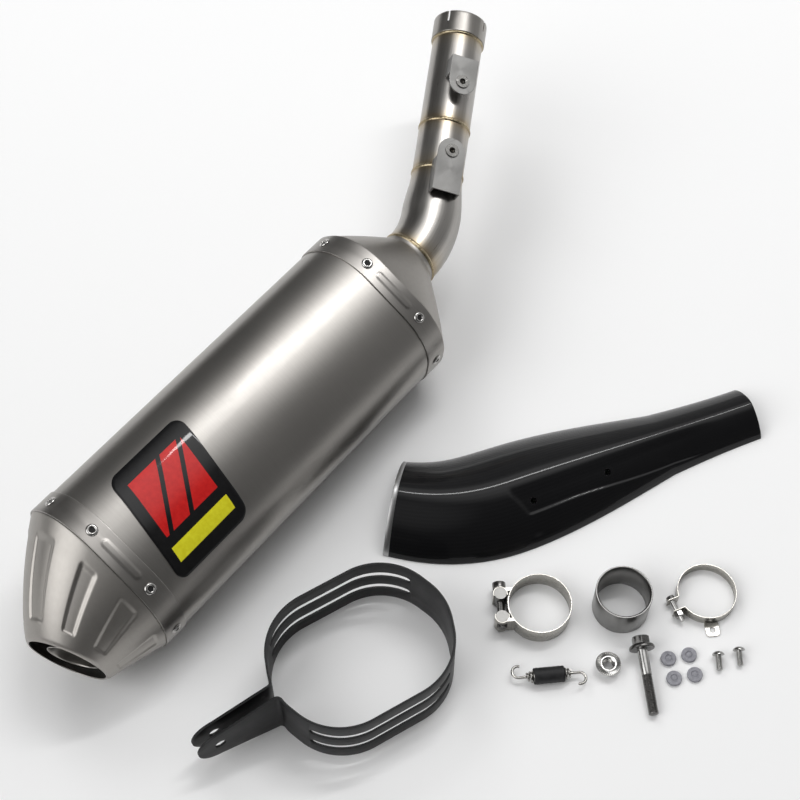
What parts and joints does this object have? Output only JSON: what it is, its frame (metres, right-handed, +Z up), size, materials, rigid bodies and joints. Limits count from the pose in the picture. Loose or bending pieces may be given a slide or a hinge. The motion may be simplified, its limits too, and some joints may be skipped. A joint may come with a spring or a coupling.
{
  "type": "racing exhaust system",
  "caption": "Slip-on exhaust kit laid out: six-sided muffler with bent link pipe, heat shield, mounting strap, clamps, reducer sleeve, spring and fasteners.",
  "frame": {"origin": "middle of the laid-out kit's footprint, on the table", "axes": "+Y along the muffler from outlet to inlet, +Z up from the table"},
  "size_m": [0.5394, 0.6614, 0.1347],
  "materials": {
    "titanium": "satin brushed",
    "cap_metal": "satin",
    "band_metal": "satin",
    "inner_tube": "dull",
    "wool": "loose fibre",
    "rivet": "bright",
    "badge": "gloss",
    "pipe": "satin with heat tint",
    "weld": "straw heat tint",
    "bracket": "satin",
    "insert": "zinc plated",
    "carbon": "clear-coated weave",
    "black_steel": "satin black",
    "clamp_steel": "stainless",
    "zinc": "zinc plated",
    "bolt_steel": "oiled steel",
    "rubber": "matt",
    "washer": "grey silicone"
  },
  "bodies": {
    "exhaust": {"outer_sleeve": "titanium", "inlet_cap": "cap_metal", "outlet_cap": "cap_metal", "outlet_baffle": "inner_tube", "outlet_tube": "inner_tube", "core_tube": "inner_tube", "packing": "wool", "inlet_band": "band_metal", "outlet_band": "band_metal", "inlet_rivets": "rivet", "outlet_rivets": "rivet", "badge_plate": "badge", "pipe_elbow": "pipe", "pipe_lower": "pipe", "pipe_middle": "pipe", "pipe_upper": "pipe", "pipe_collar": "pipe", "cap_weld": "weld", "lower_weld": "weld", "middle_weld": "weld", "collar_weld": "weld", "lower_bracket": "bracket", "upper_bracket": "bracket", "lower_insert": "insert", "upper_insert": "insert"},
    "heat_shield": {"heat_shield": "carbon"},
    "mounting_strap": {"strap": "black_steel", "strap_pin": "black_steel"},
    "bolt_clamp": {"clamp_band": "clamp_steel", "clamp_bridge": "clamp_steel", "clamp_barrel_plain": "zinc", "clamp_barrel_threaded": "zinc"},
    "clamp_bolt": {"clamp_bolt": "bolt_steel"},
    "reducer": {"reducer_sleeve": "clamp_steel"},
    "tab_clamp": {"tab_clamp_band": "clamp_steel", "tab_clamp_nut": "zinc"},
    "tab_screw": {"tab_clamp_screw": "zinc"},
    "spring": {"spring_coil": "zinc", "spring_rubber": "rubber"},
    "hook_left": {"spring_hook_left": "zinc"},
    "hook_right": {"spring_hook_right": "zinc"},
    "nut": {"flange_nut": "zinc"},
    "bolt": {"flange_bolt": "bolt_steel"},
    "washers": {"damping_washers": "washer"},
    "screws": {"shield_screws": "zinc"}
  },
  "joints": [
    {"name": "heat_shield_lift", "type": "slide", "parent": "exhaust", "child": "heat_shield", "axis": [0, 0, 1], "range_m": [0, 0.2]},
    {"name": "strap_lift", "type": "slide", "parent": "exhaust", "child": "mounting_strap", "axis": [0, 0, 1], "range_m": [0, 0.2]},
    {"name": "clamp_lift", "type": "slide", "parent": "exhaust", "child": "bolt_clamp", "axis": [0, 0, 1], "range_m": [0, 0.2]},
    {"name": "reducer_lift", "type": "slide", "parent": "exhaust", "child": "reducer", "axis": [0, 0, 1], "range_m": [0, 0.2]},
    {"name": "tab_clamp_lift", "type": "slide", "parent": "exhaust", "child": "tab_clamp", "axis": [0, 0, 1], "range_m": [0, 0.2]},
    {"name": "spring_lift", "type": "slide", "parent": "exhaust", "child": "spring", "axis": [0, 0, 1], "range_m": [0, 0.2]},
    {"name": "nut_lift", "type": "slide", "parent": "exhaust", "child": "nut", "axis": [0, 0, 1], "range_m": [0, 0.2]},
    {"name": "bolt_lift", "type": "slide", "parent": "exhaust", "child": "bolt", "axis": [0, 0, 1], "range_m": [0, 0.2]},
    {"name": "washers_lift", "type": "slide", "parent": "exhaust", "child": "washers", "axis": [0, 0, 1], "range_m": [0, 0.2]},
    {"name": "screws_lift", "type": "slide", "parent": "exhaust", "child": "screws", "axis": [0, 0, 1], "range_m": [0, 0.2]},
    {"name": "clamp_bolt_turn", "type": "hinge", "parent": "bolt_clamp", "child": "clamp_bolt", "pos_m": [0.09915, -0.06652, 0.0085], "axis": [0.6691, -0.7431, 0], "continuous": true},
    {"name": "tab_screw_turn", "type": "hinge", "parent": "tab_clamp", "child": "tab_screw", "pos_m": [0.20148, 0.02265, 0.005], "axis": [0.891, -0.454, 0], "continuous": true},
    {"name": "hook_left_swivel", "type": "hinge", "parent": "spring", "child": "hook_left", "pos_m": [0.1601, -0.08558, 0.0063], "axis": [0.7071, 0.7071, 0], "range_deg": [0, 180]},
    {"name": "hook_right_swivel", "type": "hinge", "parent": "spring", "child": "hook_right", "pos_m": [0.1601, -0.08558, 0.0063], "axis": [0.7071, 0.7071, 0], "range_deg": [-180, 0]}
  ]
}
